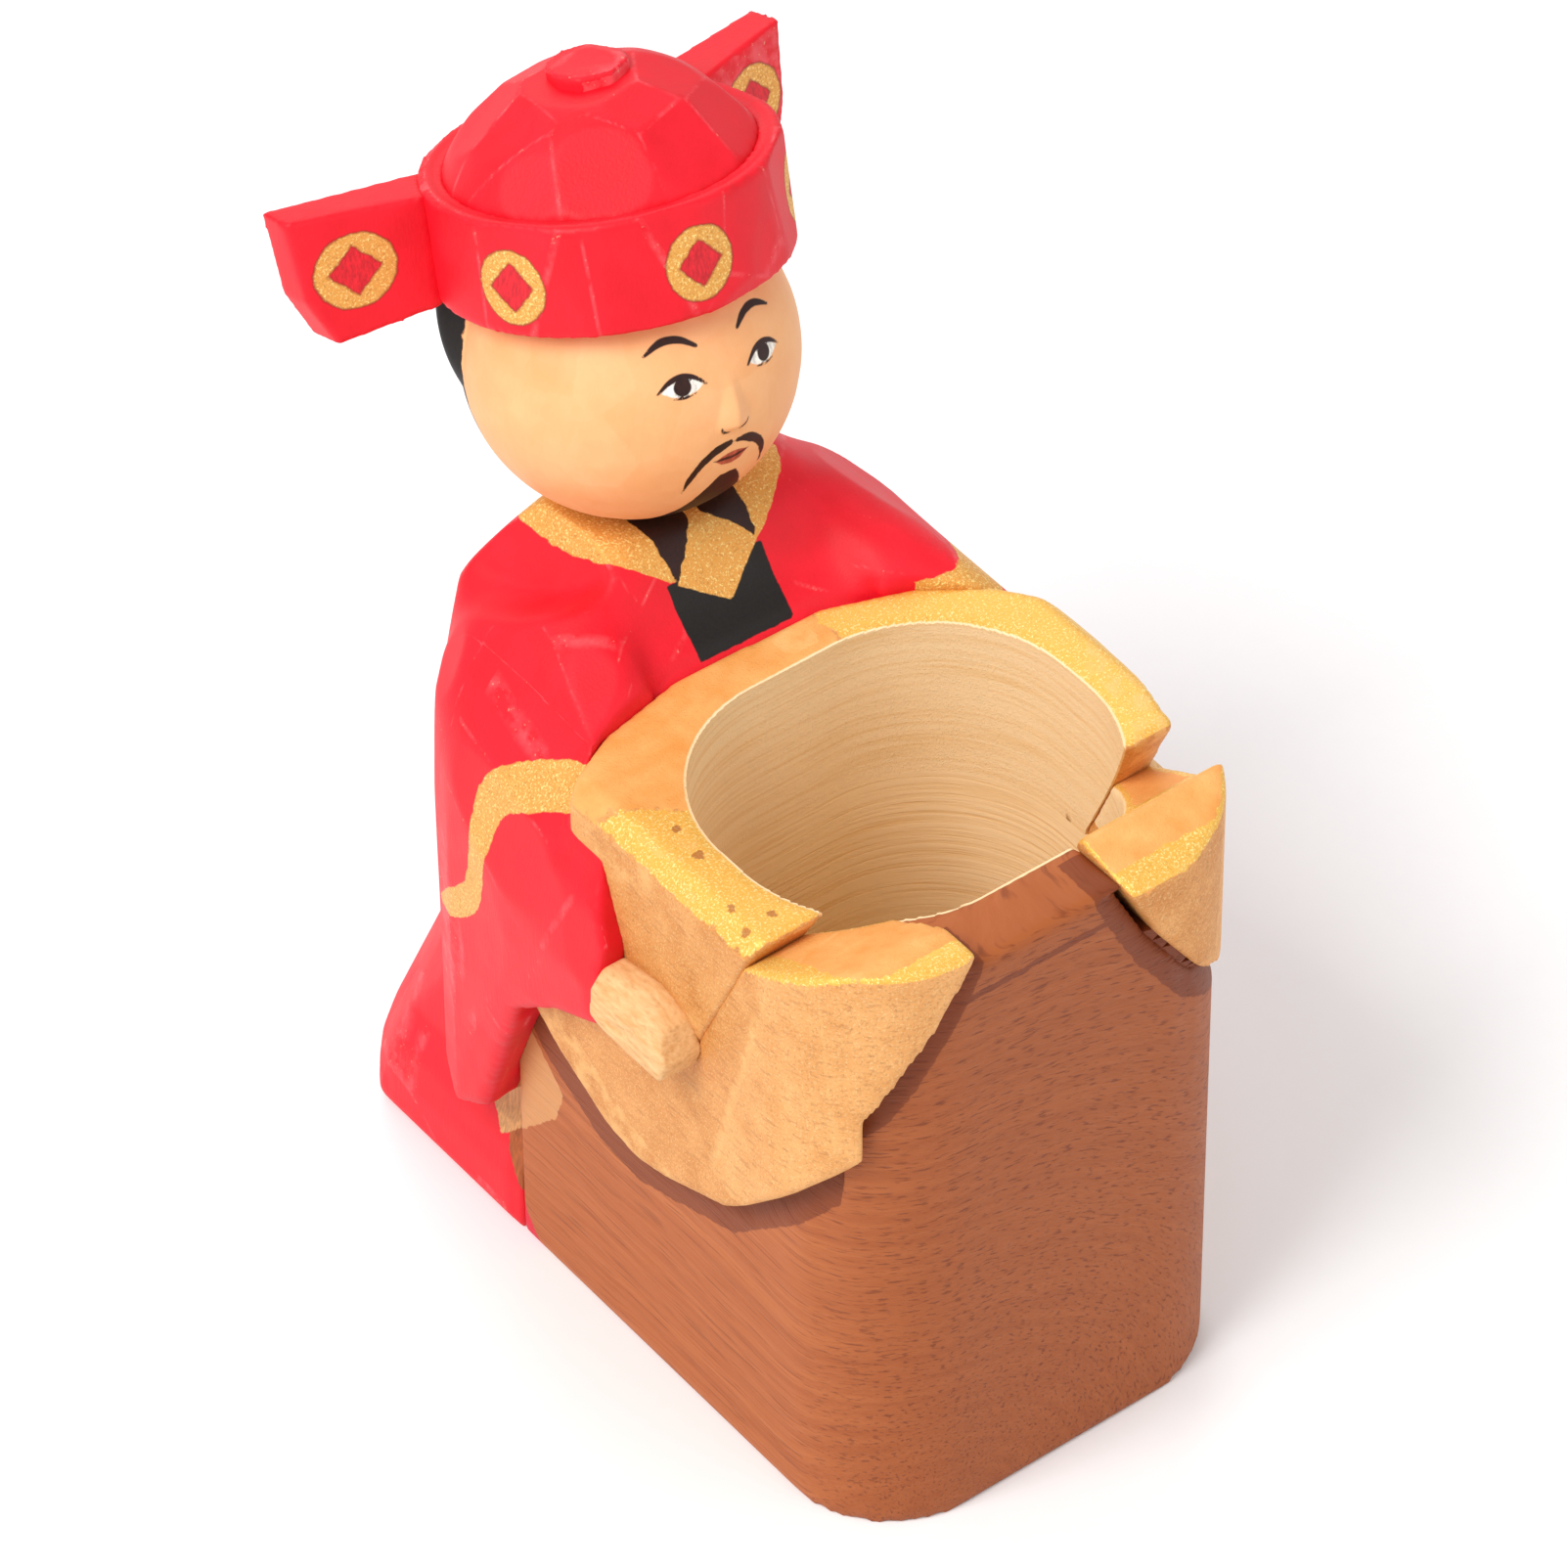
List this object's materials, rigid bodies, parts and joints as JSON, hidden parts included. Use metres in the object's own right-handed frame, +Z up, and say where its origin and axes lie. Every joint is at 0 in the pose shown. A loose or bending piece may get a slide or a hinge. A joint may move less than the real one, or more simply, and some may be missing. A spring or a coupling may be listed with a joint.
{
  "type": "carved figure holder",
  "caption": "Carved and painted wooden figure in a robe and winged hat, standing behind a block whose ingot-shaped top opens into a deep well for small sticks or pens.",
  "frame": {"origin": "bottom centre of the bounding box, on the surface the figure stands on", "axes": "+Z up; the figure faces -Y, with the well in front of it; +X towards the right side of the block as seen from the front"},
  "size_m": [0.0508, 0.075, 0.1032],
  "materials": {
    "stained_block": "stained wood, matt, fine open grain",
    "gold_paint": "carved wood under brushed metallic gold paint",
    "red_robe": "knife-cut wood under satin red paint",
    "red_hat": "knife-cut wood under satin red paint, painted coins",
    "skin_paint": "smooth wood under thin flesh-coloured paint",
    "bare_wood": "bare pale wood, fine grain",
    "dowel_wood": "plain turned wood, unfinished"
  },
  "bodies": {
    "root": {"holder_block": "stained_block", "ingot_ring": "gold_paint", "ingot_lobe_left": "gold_paint", "ingot_lobe_right": "gold_paint", "robe_body": "red_robe", "sleeve_left": "red_robe", "sleeve_right": "red_robe", "hand_left": "bare_wood", "hand_right": "bare_wood", "head": "skin_paint", "hat_band": "red_hat", "hat_crown": "red_hat", "hat_knob": "red_hat", "hat_wing_left": "red_hat", "hat_wing_right": "red_hat", "block_dowels": "dowel_wood", "neck_dowel": "dowel_wood", "hat_dowel": "dowel_wood", "sleeve_dowels": "dowel_wood", "hand_pegs": "dowel_wood"}
  },
  "joints": []
}
